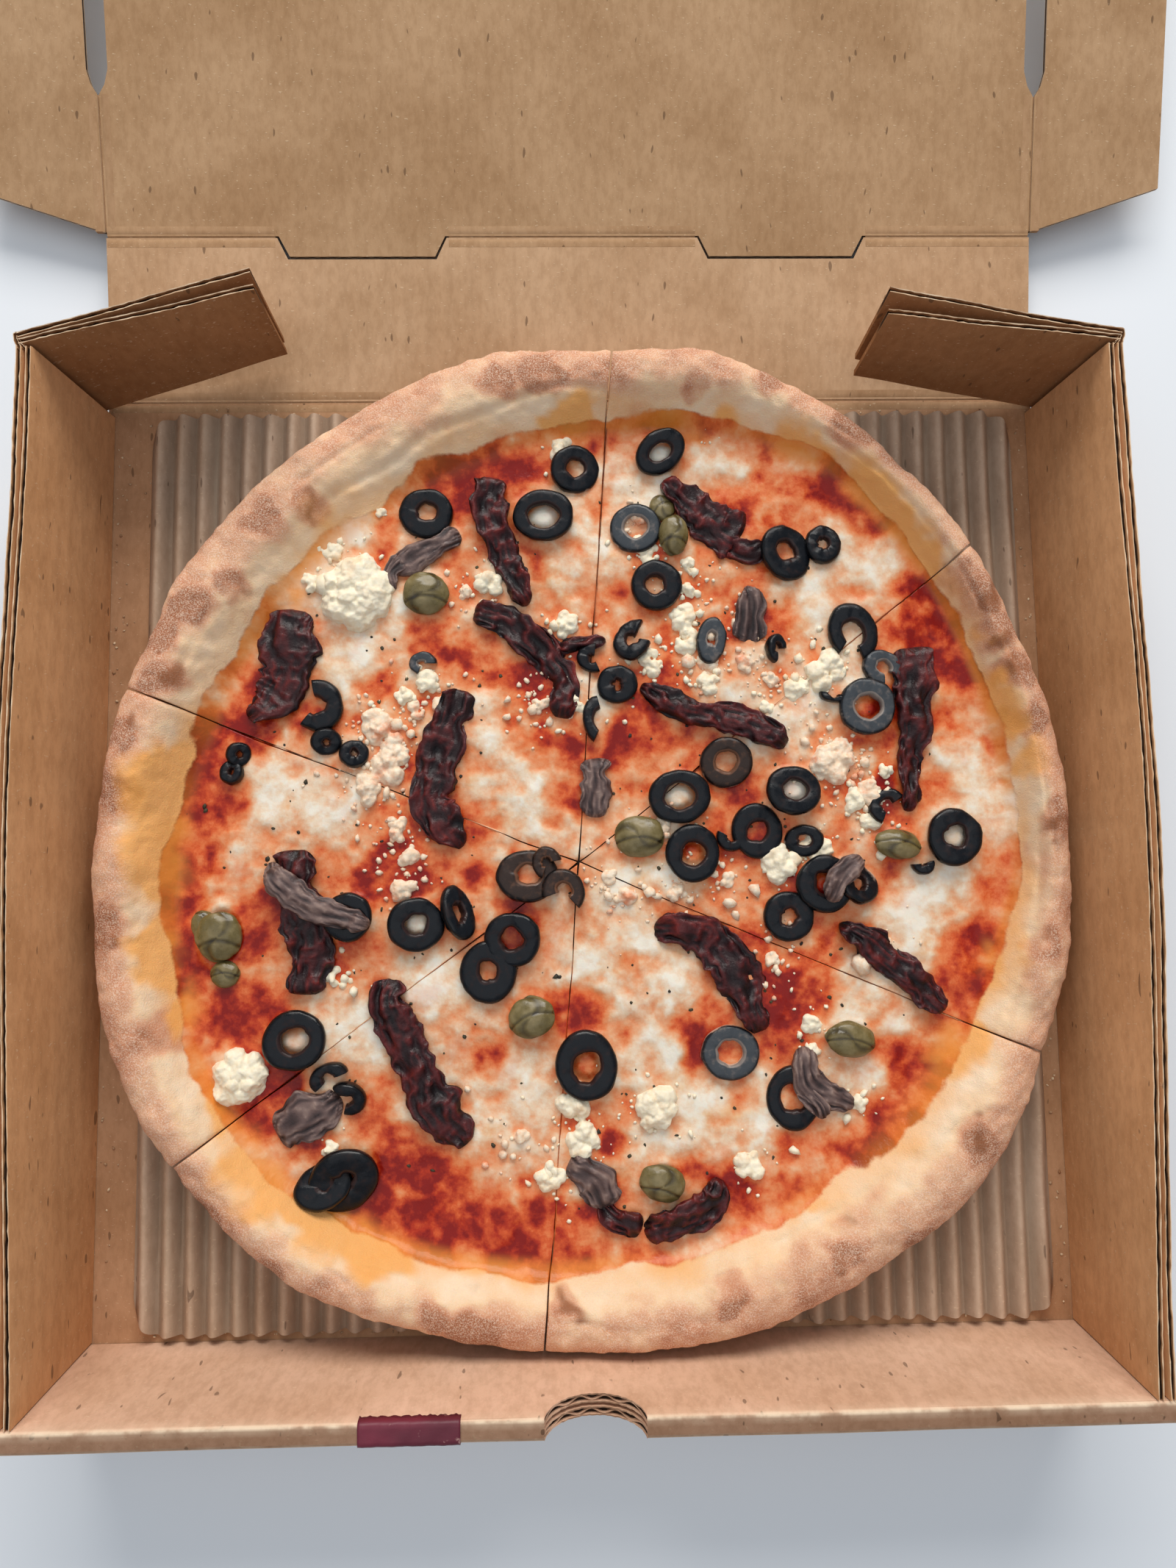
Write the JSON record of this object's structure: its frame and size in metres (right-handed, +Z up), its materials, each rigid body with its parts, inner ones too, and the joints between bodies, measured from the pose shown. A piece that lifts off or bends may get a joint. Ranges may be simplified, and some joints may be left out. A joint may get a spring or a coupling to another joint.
{
  "type": "pizza in its takeaway box",
  "caption": "Round pizza cut in slices, with olives, sun-dried tomatoes, anchovies, capers and crumbled feta, in its open corrugated-board box.",
  "frame": {"origin": "centre of the tray floor's underside, midway between the side walls", "axes": "+X to the right, +Y from the front wall to the back wall and out along the open lid, +Z up"},
  "size_m": [0.401, 0.6965, 0.1218],
  "materials": {
    "board": "matte",
    "liner_board": "matte",
    "seal_paper": "satin",
    "baked_dough": "matte",
    "olive": "satin",
    "sun_dried_tomato": "satin",
    "anchovy": "satin",
    "caper_berry": "satin",
    "feta": "matte"
  },
  "bodies": {
    "tray": {"tray_floor": "board", "left_wall": "board", "right_wall": "board", "front_wall": "board", "sticker": "seal_paper", "liner": "liner_board", "slice_1": "baked_dough", "slice_2": "baked_dough", "slice_3": "baked_dough", "slice_4": "baked_dough", "slice_5": "baked_dough", "slice_6": "baked_dough", "olive_1": "olive", "olive_2": "olive", "olive_3": "olive", "olive_4": "olive", "olive_5": "olive", "olive_6": "olive", "olive_7": "olive", "olive_8": "olive", "olive_9": "olive", "olive_10": "olive", "olive_11": "olive", "olive_12": "olive", "sun_dried_tomato_1": "sun_dried_tomato", "sun_dried_tomato_2": "sun_dried_tomato", "sun_dried_tomato_3": "sun_dried_tomato", "sun_dried_tomato_4": "sun_dried_tomato", "sun_dried_tomato_5": "sun_dried_tomato", "sun_dried_tomato_6": "sun_dried_tomato", "sun_dried_tomato_7": "sun_dried_tomato", "sun_dried_tomato_8": "sun_dried_tomato", "sun_dried_tomato_9": "sun_dried_tomato", "sun_dried_tomato_10": "sun_dried_tomato", "sun_dried_tomato_11": "sun_dried_tomato", "sun_dried_tomato_12": "sun_dried_tomato", "anchovy_1": "anchovy", "anchovy_2": "anchovy", "anchovy_3": "anchovy", "anchovy_4": "anchovy", "anchovy_5": "anchovy", "anchovy_6": "anchovy", "anchovy_7": "anchovy", "caper_berry_1": "caper_berry", "caper_berry_2": "caper_berry", "caper_berry_3": "caper_berry", "caper_berry_4": "caper_berry", "caper_berry_5": "caper_berry", "caper_berry_6": "caper_berry", "caper_berry_7": "caper_berry", "caper_berry_8": "caper_berry", "feta_1": "feta", "feta_2": "feta"},
    "left_corner_flap": {"left_flap": "board"},
    "right_corner_flap": {"right_flap": "board"},
    "back_wall_panel": {"back_wall": "board"},
    "lid_panel": {"lid": "board"},
    "left_lid_ear": {"left_ear": "board"},
    "right_lid_ear": {"right_ear": "board"},
    "lid_front": {"lid_front_flap": "board"}
  },
  "joints": [
    {"name": "back_wall_fold", "type": "hinge", "parent": "tray", "child": "back_wall_panel", "pos_m": [0, 0.154, 0.0018], "axis": [1, 0, 0], "range_deg": [-5, 60]},
    {"name": "left_flap_fold", "type": "hinge", "parent": "tray", "child": "left_corner_flap", "pos_m": [-0.161, 0.15, 0.025], "axis": [0, 0, -1], "range_deg": [-1.6, 16.6]},
    {"name": "right_flap_fold", "type": "hinge", "parent": "tray", "child": "right_corner_flap", "pos_m": [0.161, 0.15, 0.025], "axis": [0, 0, 1], "range_deg": [-1, 9.7]},
    {"name": "lid_fold", "type": "hinge", "parent": "back_wall_panel", "child": "lid_panel", "pos_m": [0, 0.20847, 0.00945], "axis": [1, 0, 0], "range_deg": [-4, 108]},
    {"name": "left_ear_fold", "type": "hinge", "parent": "lid_panel", "child": "left_lid_ear", "pos_m": [-0.1565, 0.20847, 0.00945], "axis": [0, -0.9781, -0.2079], "range_deg": [-90, 0]},
    {"name": "right_ear_fold", "type": "hinge", "parent": "lid_panel", "child": "right_lid_ear", "pos_m": [0.1565, 0.20847, 0.00945], "axis": [0, 0.9781, 0.2079], "range_deg": [-90, 0]},
    {"name": "lid_front_fold", "type": "hinge", "parent": "lid_panel", "child": "lid_front", "pos_m": [0, 0.52734, 0.07723], "axis": [-1, 0, 0], "range_deg": [-20, 70]}
  ],
  "couplings": [
    {"joint": "left_flap_fold", "follows": "back_wall_fold", "ratio": 0.266},
    {"joint": "right_flap_fold", "follows": "back_wall_fold", "ratio": 0.153}
  ]
}
